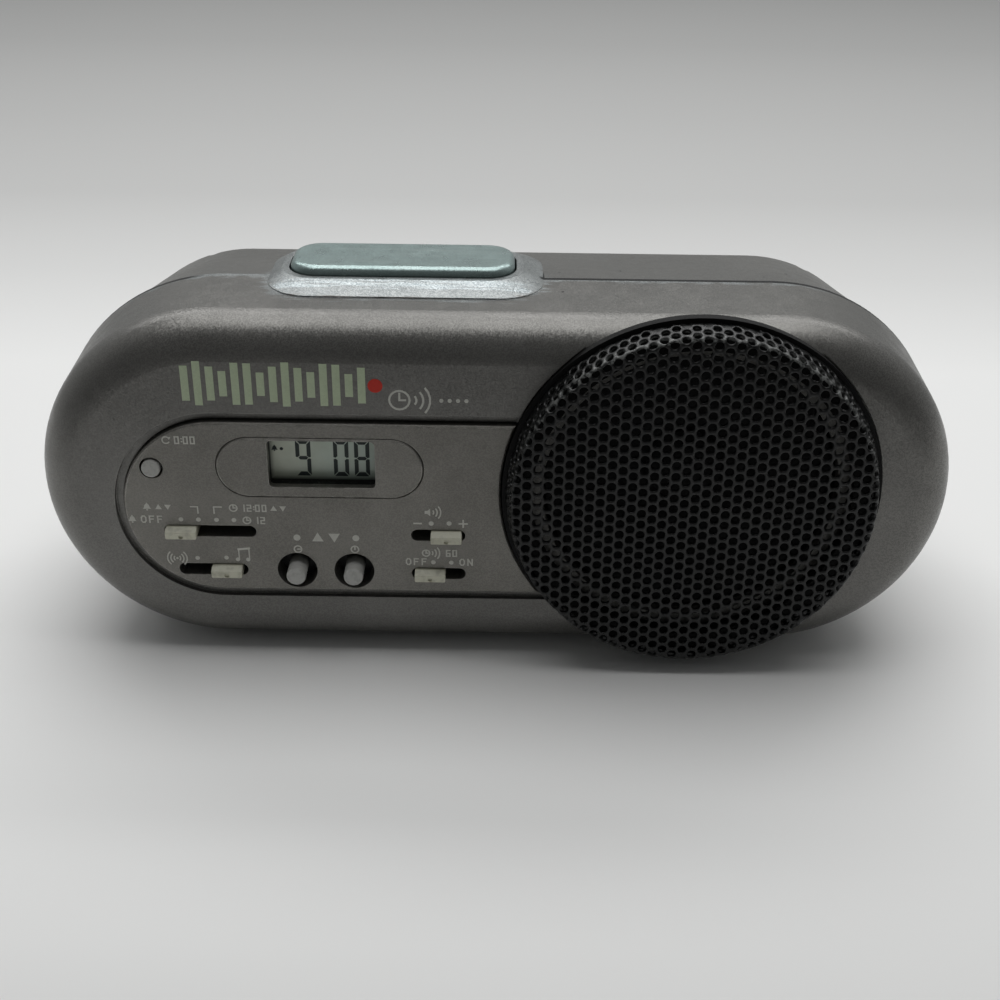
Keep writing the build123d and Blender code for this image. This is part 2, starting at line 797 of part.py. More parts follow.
def make_speaker_gasket():
    return drum(speaker_radius, speaker_y, baffle_y) - drum(sound_opening_radius, speaker_y, baffle_y)


def make_speaker_frame():
    rim_back = speaker_back_y
    throat = magnet_front_y
    profile = [
        (sound_opening_radius, speaker_y), (speaker_radius, speaker_y), (speaker_radius, rim_back),
        (sound_opening_radius + frame_thickness, rim_back),
        (magnet_radius, throat - frame_thickness), (magnet_radius, throat),
        (cone_throat_radius + frame_thickness, throat),
        (cone_throat_radius + frame_thickness, throat - frame_thickness),
        (magnet_radius - frame_thickness, throat - frame_thickness),
        (sound_opening_radius, rim_back),
    ]
    return turned(profile, drum_x, drum_z)


def make_speaker_cone():
    mouth = speaker_y
    throat = mouth + cone_depth
    skin = cone_thickness
    profile = [
        (sound_opening_radius - skin, mouth), (sound_opening_radius - skin, mouth + skin),
        (cone_mouth_radius, mouth + skin), (cone_throat_radius, throat + skin),
        (cone_throat_radius - skin, throat + skin), (cone_throat_radius - skin, throat),
        (cone_throat_radius, throat), (cone_mouth_radius, mouth),
    ]
    return turned(profile, drum_x, drum_z)


def make_dust_cap():
    back = speaker_y + cone_depth - cone_thickness / 2
    rim = cone_throat_radius + dust_cap_height / 4
    ball = (rim ** 2 + dust_cap_height ** 2) / (2 * dust_cap_height)
    centre = back - dust_cap_height + ball
    shell = Pos(drum_x, centre, drum_z) * (Sphere(ball) - Sphere(ball - cone_thickness))
    return shell & drum(ball * 2, back - dust_cap_height / 4, back - dust_cap_height * 2)


def make_speaker_magnet():
    back = magnet_front_y + magnet_depth
    ring = drum(magnet_radius, back, magnet_front_y)
    return ring - drum(cone_throat_radius + frame_thickness, back, magnet_front_y)


def make_speaker_yoke():
    front = magnet_front_y + magnet_depth
    plate = drum(magnet_radius - frame_thickness, front + yoke_thickness, front)
    pole = drum(cone_throat_radius - 2 * cone_thickness, front, front - magnet_depth)
    return plate + pole


def make_speaker_terminal():
    """Tag strip on the side of the magnet, where the two leads start."""
    x = drum_x - magnet_radius
    strip = Pos(x, terminal_y(), drum_z) * Box(terminal_depth, terminal_length, terminal_height)
    return strip - drum(magnet_radius, terminal_y() + terminal_length, terminal_y() - terminal_length)


def terminal_y():
    return magnet_front_y + magnet_depth / 2


def make_speaker_leads():
    """Two thin wires from the tag strip to the main board."""
    start_x = drum_x - magnet_radius - terminal_depth / 2
    run = main_board_y - terminal_y()
    leads = []
    for side in (-1, 1):
        z = drum_z + side * lead_spacing / 2
        turn = (start_x - run, terminal_y(), z)
        path = FilletPolyline((start_x, terminal_y(), z), turn, (start_x - run, main_board_y, z),
                              radius=lead_turn_share * run)
        section = Plane(origin=path @ 0, z_dir=path % 0) * Circle(lead_radius)
        leads.append(sweep(section, path=path))
    return Part() + leads


def make_battery_leads():
    """Two short wires from the contacts, through the bay's wall, to the main board."""
    end = cell_centre_y() - contact_side / 2
    wires = [rod(lead_radius, lead_hole_x(), z, end, main_board_back_y) for z, side in cell_places()]
    return Part() + wires


def lead_hole_x():
    return bay_x - bay_width / 2 + contact_thickness / 2 + lead_radius


def make_ribbon_cable():
    """Flat cable in an S between the two boards."""
    front = depth(board_depth + board_thickness)
    middle = (front + main_board_y) / 2
    left = ribbon_x - ribbon_jog
    path = FilletPolyline((left, front), (left, middle), (ribbon_x, middle), (ribbon_x, main_board_y),
                          radius=lead_turn_share * ribbon_jog)
    strip = Plane(origin=(0, 0, ribbon_z - ribbon_width / 2)) * trace(path, ribbon_thickness)
    return extrude(strip, ribbon_width)


def make_main_board():
    board = prism(RectangleRounded(main_board_width, main_board_height, board_corner), bay_x,
                  main_board_z, main_board_back_y, main_board_y)
    for x, z in main_post_places():
        board -= rod(small_screw_radius + screw_fit, x, z, main_board_back_y, main_board_y)
    return board


def make_chips():
    front = main_board_y
    sound = prism(Rectangle(chip_width, chip_height), chip_x, chip_z, front, front - chip_depth)
    logic = prism(Rectangle(small_chip_side, small_chip_side), small_chip_x, small_chip_z, front,
                  front - chip_depth / 2)
    return Part() + [sound, logic]


def make_capacitors():
    cans = [rod(capacitor_radius, x, capacitor_z, main_board_y, main_board_y - capacitor_length)
            for x in capacitor_x]
    return Part() + cans


def make_crystal():
    lying = Plane(origin=(crystal_x, main_board_y - crystal_radius, crystal_z)) * Circle(crystal_radius)
    return extrude(lying, crystal_length)


def cell_places():
    """Centre height of each cell and the side on which its positive end lies."""
    half = bay_height / 4
    return [(case_z + half, 1), (case_z - half, -1)]


def cell_centre_y():
    return bay_front_y + cell_gap + cell_radius


def rod_along_x(radius, x, y, z, length):
    plane = Plane(origin=(x, y, z), x_dir=(0, 1, 0), z_dir=(1, 0, 0))
    return extrude(plane * Circle(radius), length)


def make_battery_cells():
    cells = []
    for z, side in cell_places():
        nub_end = bay_x + side * (bay_width / 2 - contact_thickness)
        end = nub_end - side * cell_nub_length
        y = cell_centre_y()
        cell = rod_along_x(cell_radius, end, y, z, -side * cell_length)
        cells.append(cell + rod_along_x(cell_nub_radius, end, y, z, side * cell_nub_length))
    return Part() + cells


def make_battery_contacts():
    plates = []
    for z, side in cell_places():
        for end in (-1, 1):
            x = bay_x + end * (bay_width / 2 - contact_thickness / 2)
            plates.append(Pos(x, cell_centre_y(), z) * Box(contact_thickness, contact_side, contact_side))
    return Part() + plates


def make_battery_springs():
    room = bay_width - 2 * contact_thickness - cell_length - cell_nub_length
    spring = helix_spring(cell_spring_radius, cell_spring_wire, room, cell_spring_turns)
    springs = []
    for z, side in cell_places():
        seat = bay_x - side * (bay_width / 2 - contact_thickness)
        springs.append(Pos(seat, cell_centre_y(), z) * Rot(0, side * 90, 0) * spring)
    return Part() + springs


def make_battery_door():
    width = door_width - 2 * door_gap
    height = door_height - 2 * door_gap
    door = prism(RectangleRounded(width, height, door_corner), bay_x, case_z, rear_depth,
                 rear_depth - door_thickness)
    for i in range(door_grip_count):
        x = bay_x + width / 2 - door_grip_inset - i * door_grip_pitch
        door -= prism(Rectangle(door_grip_width, door_grip_length), x, case_z, rear_depth,
                      rear_depth - door_grip_depth)
    return door


def make_feet():
    feet = []
    for x, y in foot_places:
        foot = column(Circle(foot_radius), x, y, 0, foot_height + foot_sink)
        feet.append(chamfer(foot.faces().sort_by(Axis.Z)[0].edges(), foot_edge))
    return Part() + feet


def build_all():
    pieces = {
        "front_case": make_front_case(),
        "rear_case": make_rear_case(),
        "control_panel": make_control_panel(),
        "display_bezel": make_display_bezel(),
        "lcd_frame": make_lcd_frame(),
        "lcd_glass": make_lcd_glass(),
        "lcd_connectors": make_lcd_connectors(),
        "control_board": make_control_board(),
        "panel_screws": make_panel_screws(),
        "push_switches": make_push_switches(),
        "switch_domes": make_switch_domes(),
        "grille_ring": make_grille_ring(),
        "speaker_grille": make_speaker_grille(),
        "speaker_gasket": make_speaker_gasket(),
        "speaker_frame": make_speaker_frame(),
        "speaker_cone": make_speaker_cone(),
        "speaker_dust_cap": make_dust_cap(),
        "speaker_magnet": make_speaker_magnet(),
        "speaker_yoke": make_speaker_yoke(),
        "speaker_screws": make_speaker_screws(),
        "speaker_terminal": make_speaker_terminal(),
        "speaker_leads": make_speaker_leads(),
        "battery_leads": make_battery_leads(),
        "ribbon_cable": make_ribbon_cable(),
        "talk_bar": make_talk_bar(),
        "talk_bracket": make_talk_bracket(),
        "talk_switch": make_talk_switch(),
        "talk_bar_springs": make_bar_springs(),
        "bracket_screws": make_bracket_screws(),
        "main_board": make_main_board(),
        "main_board_screws": make_main_board_screws(),
        "chips": make_chips(),
        "capacitors": make_capacitors(),
        "quartz_crystal": make_crystal(),
        "battery_cells": make_battery_cells(),
        "battery_contacts": make_battery_contacts(),
        "battery_springs": make_battery_springs(),
        "battery_door": make_battery_door(),
        "case_screws": make_case_screws(),
        "rubber_feet": make_feet(),
    }
    for name in slides:
        pieces[name + "_switch"] = make_slide_switch(name)
        pieces[name + "_slider"] = make_slider(name)
    for name in push_buttons:
        pieces[name + "_button"] = make_push_button(name)
    return pieces


for node, piece in build_all().items():
    export_step(Pos(0, reset_y, 0) * piece, os.path.join("parts", node + ".step"))
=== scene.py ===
import bmesh
import bpy
import json
import math
from mathutils import Matrix, Vector


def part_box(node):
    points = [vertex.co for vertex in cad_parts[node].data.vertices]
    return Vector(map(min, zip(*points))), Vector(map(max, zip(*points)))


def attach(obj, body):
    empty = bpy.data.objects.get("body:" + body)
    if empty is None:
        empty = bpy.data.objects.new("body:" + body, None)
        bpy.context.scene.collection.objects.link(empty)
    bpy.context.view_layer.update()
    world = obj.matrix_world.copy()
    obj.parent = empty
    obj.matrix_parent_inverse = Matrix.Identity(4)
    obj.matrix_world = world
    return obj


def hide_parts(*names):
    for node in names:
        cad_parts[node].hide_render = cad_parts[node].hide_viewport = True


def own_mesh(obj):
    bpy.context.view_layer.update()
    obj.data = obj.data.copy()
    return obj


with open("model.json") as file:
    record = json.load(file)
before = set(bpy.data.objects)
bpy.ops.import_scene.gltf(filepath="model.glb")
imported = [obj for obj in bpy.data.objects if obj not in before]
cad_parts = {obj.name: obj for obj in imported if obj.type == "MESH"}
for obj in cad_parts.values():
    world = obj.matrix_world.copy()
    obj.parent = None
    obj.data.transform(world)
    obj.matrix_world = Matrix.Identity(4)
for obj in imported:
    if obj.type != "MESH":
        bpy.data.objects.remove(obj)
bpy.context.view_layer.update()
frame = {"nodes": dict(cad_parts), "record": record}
nodes = frame["nodes"]
MM = 0.001

# Planes of the front and the seam, in metres
BEZEL_STEP = 0.75 * MM
PANEL_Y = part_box("control_panel")[0].y
CASE_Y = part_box("display_bezel")[0].y + BEZEL_STEP
GLASS_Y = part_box("lcd_glass")[0].y
SEAM_Y = -3.25 * MM

NOISE_LOW, NOISE_HIGH = 0.3, 0.7  # nearly all of a noise lies between these


def srgb(red, green, blue):
    """A colour given in eight bit display values, as the linear values that a shader takes."""
    def linear(value):
        share = value / 255
        return share / 12.92 if share <= 0.04045 else ((share + 0.055) / 1.055) ** 2.4
    return (linear(red), linear(green), linear(blue), 1.0)


def dimmed(colour, factor):
    return [part * factor for part in colour[:3]] + [1.0]


class Look:
    """A material with short calls for the nodes that it needs. Coordinates are metres."""

    def __init__(self, name, **sockets):
        self.material = bpy.data.materials.new(name)
        self.material.use_nodes = True
        self.tree = self.material.node_tree
        self.shader = self.tree.nodes["Principled BSDF"]
        self.place = self.add("TexCoord").outputs["Object"]
        for socket, value in sockets.items():
            self.set(socket.replace("_", " "), value)

    def add(self, kind, **settings):
        node = self.tree.nodes.new("ShaderNode" + kind)
        for key, value in settings.items():
            setattr(node, key, value)
        return node

    def feed(self, socket, value):
        if isinstance(value, bpy.types.NodeSocket):
            self.tree.links.new(value, socket)
        else:
            socket.default_value = value

    def set(self, socket, value):
        self.feed(self.shader.inputs[socket], value)

    def math(self, operation, first, second=0.0):
        node = self.add("Math", operation=operation)
        self.feed(node.inputs[0], first)
        self.feed(node.inputs[1], second)
        return node.outputs[0]

    def sum(self, first, second):
        return self.math("ADD", first, second)

    def distance(self, first, second):
        return self.math("ABSOLUTE", self.math("SUBTRACT", first, second))

    def product(self, first, *others):
        for other in others:
            first = self.math("MULTIPLY", first, other)
        return first

    def most(self, first, *others):
        for other in others:
            first = self.math("MAXIMUM", first, other)
        return first

    def vector(self, operation, first, second=(0.0, 0.0, 0.0), output=0):
        node = self.add("VectorMath", operation=operation)
        self.feed(node.inputs[0], first)
        self.feed(node.inputs[1], second)
        return node.outputs[output]

    def length(self, vector):
        return self.vector("LENGTH", vector, output=1)

    def scaled(self, vector, factor):
        node = self.add("VectorMath", operation="SCALE")
        self.feed(node.inputs[0], vector)
        self.feed(node.inputs["Scale"], factor)
        return node.outputs[0]

    def parts(self, vector):
        node = self.add("SeparateXYZ")
        self.feed(node.inputs[0], vector)
        return node.outputs

    def axis(self, name):
        return self.parts(self.place)[name]

    def ease(self, value, low, high, out_low=0.0, out_high=1.0):
        """Goes smoothly from out_low at low to out_high at high; low may be the larger."""
        node = self.add("MapRange", interpolation_type="SMOOTHSTEP")
        if low > high:
            low, high, out_low, out_high = high, low, out_high, out_low
        for socket, number in zip(node.inputs, (value, low, high, out_low, out_high)):
            self.feed(socket, number)
        return node.outputs[0]

    def varied(self, noise, out_low, out_high):
        """The noise, spread from out_low to out_high."""
        return self.ease(noise, NOISE_LOW, NOISE_HIGH, out_low, out_high)

    def mix(self, share, first, second):
        node = self.add("Mix", data_type="RGBA")
        self.feed(node.inputs[0], share)
        self.feed(node.inputs[6], first)
        self.feed(node.inputs[7], second)
        return node.outputs[2]

    def noise(self, grain, detail=2.0, stretch=None):
        """Noise of grains about this many metres wide, around a half."""
        place = self.vector("MULTIPLY", self.place, stretch) if stretch else self.place
        node = self.add("TexNoise")
        self.feed(node.inputs["Vector"], place)
        node.inputs["Scale"].default_value = 1 / grain
        node.inputs["Detail"].default_value = detail
        return node.outputs["Fac"]

    def flakes(self, grain):
        """One random vector for each flake."""
        node = self.add("TexVoronoi")
        self.feed(node.inputs["Vector"], self.place)
        node.inputs["Scale"].default_value = 1 / grain
        return node.outputs["Color"]

    def bump(self, height, distance, strength=1.0, normal=None):
        node = self.add("Bump")
        self.feed(node.inputs["Height"], height)
        node.inputs["Distance"].default_value = distance
        node.inputs["Strength"].default_value = strength
        if normal is not None:
            self.feed(node.inputs["Normal"], normal)
        return node.outputs[0]

    def soft_edges(self, radius):
        """The normal as it is where the edges are rounded by this radius."""
        node = self.add("Bevel", samples=4)
        node.inputs["Radius"].default_value = radius
        return node.outputs[0]

    def tilted(self, normal, flakes, amount):
        """The normal of small flakes that lie a little askew."""
        lean = self.scaled(self.vector("SUBTRACT", flakes, (0.5, 0.5, 0.5)), amount)
        return self.vector("NORMALIZE", self.vector("ADD", normal, lean))

    def edge_share(self, rounded, low, high):
        """One on a convex or concave edge, nought on the flat."""
        flat = self.add("NewGeometry").outputs["Normal"]
        return self.ease(self.vector("DOT_PRODUCT", rounded, flat, output=1), high, low)


def rounded_distance(look, centre, half_size, corner):
    """Distance in metres from a rounded rectangle in the top view, less than nought inside."""
    across = look.vector("ABSOLUTE", look.vector("SUBTRACT", look.place, (centre[0], centre[1], 0)))
    flat = look.vector("MULTIPLY", across, (1, 1, 0))
    over = look.vector("SUBTRACT", flat, (half_size[0] - corner, half_size[1] - corner, 0))
    outside = look.length(look.vector("MAXIMUM", over))
    parts = look.parts(over)
    inside = look.math("MINIMUM", look.most(parts["X"], parts["Y"]), 0.0)
    return look.math("SUBTRACT", look.sum(outside, inside), corner)


# Paints

FLAKE_SIZE = 0.17 * MM
PAINT_EDGE = 0.25 * MM
# How much pale shows on edges, as rubbed wear and as a painted highlight
EDGE_RUB_AND_HIGHLIGHT = 0.75


def metal_paint(name, colour, pale, roughness, metallic, flake_contrast, lean):
    """Sprayed paint with fine metal flakes, rubbed pale along its edges, where the pale also stands as a painted
    highlight.
    """
    look = Look(name, Metallic=metallic)
    flakes = look.flakes(FLAKE_SIZE)
    look.flake = look.parts(flakes)["X"]
    tone = look.mix(look.ease(look.flake, 0.5 - flake_contrast, 0.5 + flake_contrast),
                    dimmed(colour, 1 - flake_contrast), dimmed(colour, 1 + flake_contrast))
    cloud = look.noise(14 * MM, 3.0)
    tone = look.mix(look.ease(cloud, 0.35, 0.7, 0.0, 0.06), tone, pale)
    rounded = look.soft_edges(PAINT_EDGE)
    # Pale edges: rubbed wear, and also a painted highlight along them
    edge = look.product(look.edge_share(rounded, 0.9, 0.995), look.ease(look.noise(2.2 * MM), 0.3, 0.62))
    look.colour = look.mix(look.product(edge, EDGE_RUB_AND_HIGHLIGHT), tone, pale)
    look.set("Base Color", look.colour)
    look.set("Roughness", look.varied(look.noise(3 * MM, 3.0), roughness - 0.03, roughness + 0.04))
    look.set("Normal", look.tilted(rounded, flakes, lean))
    return look


# The talk bar's surround in the top view, and how much of the silver shows where
SURROUND_CENTRE = (-16.2 * MM, -1.65 * MM)
SURROUND_HALF = (24 * MM, 12 * MM)
SURROUND_CORNER = 8 * MM
SURROUND_FOOT_Z = 65.02 * MM
SURROUND_SIDE_WEAR = 0.16
SKIRT_WEAR = 0.1
HALO_WEAR = 0.5
SEAM_WEAR = 0.5


def case_look():
    """Gunmetal paint, worn to a blue silver along the top seam and on the talk bar's surround."""
    look = metal_paint("case_paint", srgb(110, 109, 106), srgb(176, 174, 170),
                       roughness=0.35, metallic=0.8, flake_contrast=0.12, lean=0.14)
    ragged = look.noise(1.6 * MM, 4.0, (0.35, 1.0, 1.0))
    streak = look.noise(0.7 * MM, 3.0, (0.08, 1.0, 1.0))
    worn = look.most(look.product(halo_share(look, streak), HALO_WEAR),
                     look.product(seam_share(look, ragged), SEAM_WEAR),
                     surround_share(look, ragged, streak))
    silver = look.mix(look.flake, srgb(122, 131, 134), srgb(196, 202, 203))
    # Dark nicks, and painted shade in the seam's gap
    dark = look.most(nick_share(look), seam_gap_shade(look))
    look.set("Base Color", look.mix(dark, look.mix(worn, look.colour, silver), srgb(24, 24, 24)))
    look.set("Metallic", look.ease(worn, 0.0, 1.0, 0.62, 0.85))
    return look.material


def seam_share(look, ragged):
    """Silver along the seam, on the top of the case only."""
    off = look.distance(look.axis("Y"), SEAM_Y)
    off = look.sum(off, look.varied(ragged, 0.9 * MM, -0.5 * MM))
    return look.product(look.ease(off, 2.1 * MM, 1.1 * MM), look.ease(look.axis("Z"), 55 * MM, 62 * MM),
                        look.ease(look.axis("X"), 62 * MM, 50 * MM))


def halo_share(look, streak):
    """Silver streaks on the case's top round the foot of the surround."""
    off = rounded_distance(look, SURROUND_CENTRE, SURROUND_HALF, SURROUND_CORNER)
    off = look.sum(off, look.varied(streak, 1.4 * MM, -1.2 * MM))
    return look.product(look.ease(off, 1.5 * MM, 0.1 * MM), look.ease(look.axis("Z"), 63.4 * MM, 64.4 * MM))


def surround_share(look, ragged, streak):
    """Silver on the surround itself, nearly bare along its front and thin at its sides and its skirt."""
    along = look.sum(look.axis("X"), look.varied(ragged, -2.2 * MM, 2.2 * MM))
    ramp = look.sum(look.axis("Y"), look.varied(streak, -0.8 * MM, 0.8 * MM))
    front = look.product(look.ease(ramp, -6.4 * MM, -8.6 * MM), look.ease(along, -41 * MM, -36 * MM),
                         look.ease(along, 9 * MM, 4 * MM),
                         look.ease(ramp, -11.4 * MM, -10.0 * MM, SKIRT_WEAR, 1.0))
    raised = look.ease(look.axis("Z"), SURROUND_FOOT_Z, SURROUND_FOOT_Z + 0.1 * MM)
    return look.product(raised, look.ease(front, 0.0, 1.0, SURROUND_SIDE_WEAR, 1.0),
                        look.ease(streak, 0.3, 0.58, 0.45, 1.0))


def seam_gap_shade(look):
    """Painted shade of the gap between the case halves, closed by rubbed paint to the left of the talk bar."""
    x = look.axis("X")
    line = look.ease(look.distance(look.axis("Y"), SEAM_Y - 0.35 * MM), 0.65 * MM, 0.5 * MM)
    left = look.ease(x, -51 * MM, -55 * MM)
    right = look.ease(x, 6.8 * MM, 7.6 * MM)
    low = look.ease(look.axis("Z"), 55 * MM, 53 * MM)
    return look.product(line, look.most(left, right, low))


# Place of each nick in millimetres, and how much its length in the depth is shortened
NICKS = ((11.0, -9.6, 65.0, 0.75), (10.9, 4.0, 65.0, 0.5), (47.6, 2.6, 65.0, 0.6), (22.0, 6.5, 65.0, 0.4),
         (52.5, 7.5, 64.0, 0.45))
NICK_OUTER, NICK_INNER = 0.38 * MM, 0.22 * MM


def nick_share(look):
    """A few dark nicks in the top of the case, as short ovals."""
    spots = []
    for x, y, z, squeeze in NICKS:
        off = look.vector("SUBTRACT", look.place, (x * MM, y * MM, z * MM))
        near = look.length(look.vector("MULTIPLY", off, (1.0, squeeze, 0.1)))
        rough = look.varied(look.noise(0.5 * MM), 0.15 * MM, -0.1 * MM)
        spots.append(look.ease(look.sum(near, rough), NICK_OUTER, NICK_INNER))
    return look.most(*spots)


def panel_look():
    return metal_paint("panel_paint", srgb(122, 120, 115), srgb(205, 203, 196),
                       roughness=0.44, metallic=0.7, flake_contrast=0.12, lean=0.14).material


def bar_look():
    """Pale blue green silver paint, rubbed by fingers."""
    look = metal_paint("bar_paint", srgb(148, 166, 164), srgb(205, 218, 215),
                       roughness=0.3, metallic=0.75, flake_contrast=0.08, lean=0.12)
    streak = look.noise(1.1 * MM, 4.0, (0.12, 1.0, 1.0))
    rubbed = look.product(look.ease(streak, 0.45, 0.75), 0.35)
    look.set("Base Color", look.mix(rubbed, look.colour, srgb(176, 190, 188)))
    return look.material


# Plastics, glass and metal

PLASTIC_EDGE = 0.12 * MM


def moulded(name, roughness, grain, depth):
    """The fine texture of moulded plastic, without its colour."""
    look = Look(name)
    fine = look.noise(grain, 3.0)
    look.set("Roughness", look.varied(fine, roughness - 0.06, roughness + 0.06))
    look.set("Normal", look.bump(fine, depth, 0.6, look.soft_edges(PLASTIC_EDGE)))
    return look


def plastic(name, colour, roughness, grain, depth, dust=0.0, dust_colour=None):
    """Moulded plastic of one colour, with dust if some is given."""
    look = moulded(name, roughness, grain, depth)
    tone = look.mix(look.ease(look.noise(9 * MM, 2.0), 0.35, 0.7), colour, dimmed(colour, 0.82))
    if dust:
        specks = look.product(look.ease(look.noise(0.35 * MM, 1.0), 0.66, 0.72), dust)
        tone = look.mix(specks, tone, dust_colour)
    look.set("Base Color", tone)
    return look


def grime(look, grain, low, high, amount):
    return look.product(look.ease(look.noise(grain, 3.0), low, high), amount)


def knob_look():
    """Cream plastic, a little grimy in its dimple, with painted shade where it meets the panel."""
    look = moulded("knob_cream", 0.38, 0.4 * MM, 0.01 * MM)
    # Painted shade towards the foot, where the knob meets the panel; the same dark colour serves the grime
    foot = look.ease(look.axis("Y"), PANEL_Y - 0.5 * MM, PANEL_Y + 0.4 * MM)
    share = look.most(grime(look, 1.3 * MM, 0.42, 0.72, 0.35), look.product(foot, 0.7))
    look.set("Base Color", look.mix(share, srgb(212, 211, 192), srgb(120, 117, 100)))
    return look.material


def pin_look():
    """Grey plastic pins whose collars behind the panel are darkened as painted shade."""
    look = moulded("button_grey", 0.5, 0.3 * MM, 0.012 * MM)
    # Painted shade: the collars darken with depth behind the panel
    deep_shade = look.ease(look.axis("Y"), PANEL_Y + 1.2 * MM, PANEL_Y + 3.4 * MM)
    tone = look.mix(grime(look, 0.8 * MM, 0.45, 0.75, 0.3), srgb(182, 182, 178), srgb(104, 103, 98))
    look.set("Base Color", look.mix(deep_shade, tone, srgb(14, 14, 14)))
    return look.material


def glass_look():
    """Grey green display, paler at its left and shaded by the window's sill and its left side."""
    look = Look("lcd_glass", Roughness=0.24)
    x, z = look.axis("X"), look.axis("Z")
    tint = look.mix(look.ease(x, -39 * MM, -25 * MM), srgb(212, 218, 200), srgb(194, 208, 196))
    tint = look.mix(look.varied(look.noise(3.5 * MM, 2.0), 0.0, 0.3), tint, srgb(172, 182, 162))
    sill = look.ease(z, 35.6 * MM, 34.6 * MM, 0.0, 0.8)
    side = look.ease(x, -38.2 * MM, -39.2 * MM, 0.0, 0.5)
    look.set("Base Color", look.mix(look.most(sill, side), tint, srgb(40, 46, 44)))
    return look.material


HIGHLIGHT_RIM_RADIUS = 30.85 * MM


def grille_look():
    """Satin black paint on steel, with a painted highlight in spots along the cup's upper rim."""
    look = Look("grille_black", Specular_IOR_Level=0.4)
    patch = look.noise(1.4 * MM, 3.0)
    tone = look.mix(look.ease(patch, 0.35, 0.7), srgb(8, 9, 9), srgb(18, 19, 19))
    from_axis = look.vector("SUBTRACT", look.place, GRILLE_CENTRE)
    reach = look.length(look.vector("MULTIPLY", from_axis, (1, 0, 1)))
    # Painted highlight in spots along the cup's rim, strongest at its top
    rim = look.product(look.ease(look.distance(reach, HIGHLIGHT_RIM_RADIUS), 0.55 * MM, 0.2 * MM),
                       look.ease(look.noise(0.9 * MM, 3.0), 0.42, 0.6),
                       look.ease(look.parts(from_axis)["Z"], 6 * MM, 24 * MM, 0.1, 1.0))
    look.set("Base Color", look.mix(look.product(rim, 0.6), tone, srgb(140, 142, 140)))
    look.set("Roughness", look.varied(patch, 0.24, 0.42))
    look.set("Normal", look.bump(look.noise(0.22 * MM, 4.0), 0.03 * MM, 0.8))
    return look.material


def steel_look(name, colour, roughness):
    look = Look(name, Metallic=1.0)
    lines = look.noise(0.3 * MM, 3.0, (1.0, 1.0, 0.1))
    look.set("Base Color", look.mix(look.varied(lines, 0.0, 1.0), colour, dimmed(colour, 0.7)))
    look.set("Roughness", look.varied(lines, roughness, roughness + 0.15))
    look.set("Normal", look.bump(lines, 0.01 * MM, 0.5))
    return look.material


def print_look(name, colour):
    """Screen printed ink, thin enough that the paint's grain shows through."""
    look = Look(name, Roughness=0.6)
    thin = look.parts(look.flakes(0.26 * MM))["X"]
    patch = look.ease(look.noise(0.8 * MM, 3.0), 0.45, 0.75, 0.0, 0.35)
    look.set("Base Color", look.mix(look.most(look.product(thin, 0.3), patch), colour, dimmed(colour, 0.72)))
    look.set("Normal", look.bump(thin, 0.01 * MM, 0.5))
    return look.material


# Slot, colour, roughness, grain and depth of the texture in millimetres
PLAIN_PLASTICS = (
    ("black_plastic", (17, 17, 18), 0.42, 0.25, 0.012),
    ("circuit_board", (30, 78, 48), 0.4, 0.5, 0.01),
    ("switch_body", (15, 15, 16), 0.5, 0.3, 0.01),
    ("magnet", (44, 44, 46), 0.6, 0.4, 0.04),
    ("paper", (24, 24, 25), 0.85, 0.5, 0.05),
    ("component_black", (28, 28, 30), 0.5, 0.3, 0.01),
    ("lead_cover", (120, 30, 28), 0.5, 0.4, 0.01),
    ("ribbon", (180, 180, 184), 0.45, 0.4, 0.01),
)
# Slot, colour and roughness
METALS = (
    ("steel", (176, 176, 178), 0.3),
    ("cell_can", (120, 122, 126), 0.35),
    ("component_can", (178, 180, 184), 0.3),
)


def make_looks():
    """One look for each slot, put on every CAD node, and looks of their own for four nodes."""
    looks = {
        "case_paint": case_look(), "panel_paint": panel_look(), "bar_paint": bar_look(),
        "grille_black": grille_look(), "knob_cream": knob_look(), "button_grey": pin_look(),
        "lcd_glass": glass_look(),
        "rubber": plastic("rubber", srgb(26, 26, 27), 0.75, 0.3 * MM, 0.03 * MM, 0.3, srgb(70, 70, 68)).material,
    }
    for name, colour, roughness, grain, depth in PLAIN_PLASTICS:
        looks[name] = plastic(name, srgb(*colour), roughness, grain * MM, depth * MM).material
    for name, colour, roughness in METALS:
        looks[name] = steel_look(name, srgb(*colour), roughness)
    dusty = plastic("dusty_black", srgb(13, 13, 13), 0.5, 0.3 * MM, 0.02 * MM, 0.55, srgb(120, 120, 116))
    shadowed = plastic("shadowed_black", srgb(8, 8, 8), 0.6, 0.3 * MM, 0.01 * MM)
    shadowed.set("Specular IOR Level", 0.2)
    own = {"lcd_frame": dusty.material, "grille_ring": shadowed.material, "speaker_frame": shadowed.material,
           "speaker_screws": shadowed.material}
    for row in frame["record"]["subparts"]:
        piece = nodes[row["node"]]
        piece.data.materials.clear()
        piece.data.materials.append(own.get(row["node"], looks[row["material_slot"]]))
    return looks


# Pieces of the scene

def to_object(name, mesh, look):
    data = bpy.data.meshes.new(name)
    mesh.to_mesh(data)
    mesh.free()
    data.materials.append(look)
    piece = bpy.data.objects.new(name, data)
    bpy.context.scene.collection.objects.link(piece)
    return piece


def place(piece, body, slot):
    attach(piece, body)


def shade_smooth(piece, degrees):
    """Smooth shading with edges sharper than this left hard."""
    piece.data.shade_smooth()
    piece.data.set_sharp_from_angle(angle=math.radians(degrees))


# Perforated grille

GRILLE_CENTRE = Vector((33.6 * MM, 0.0, 34.3 * MM))
HOLE_PITCH = 2.05 * MM
HOLE_RADIUS = 0.76 * MM
LIP_RADIUS = 0.86 * MM
LIP_DEPTH = 0.09 * MM
SHEET = 0.6 * MM
SHOULDER = 0.9 * MM
WALL_LEAN = math.radians(11.5)
POINTS_ROUND_HOLE = 18
RIM_MARGIN = 0.25 * MM
SMOOTH_DEGREES = 50


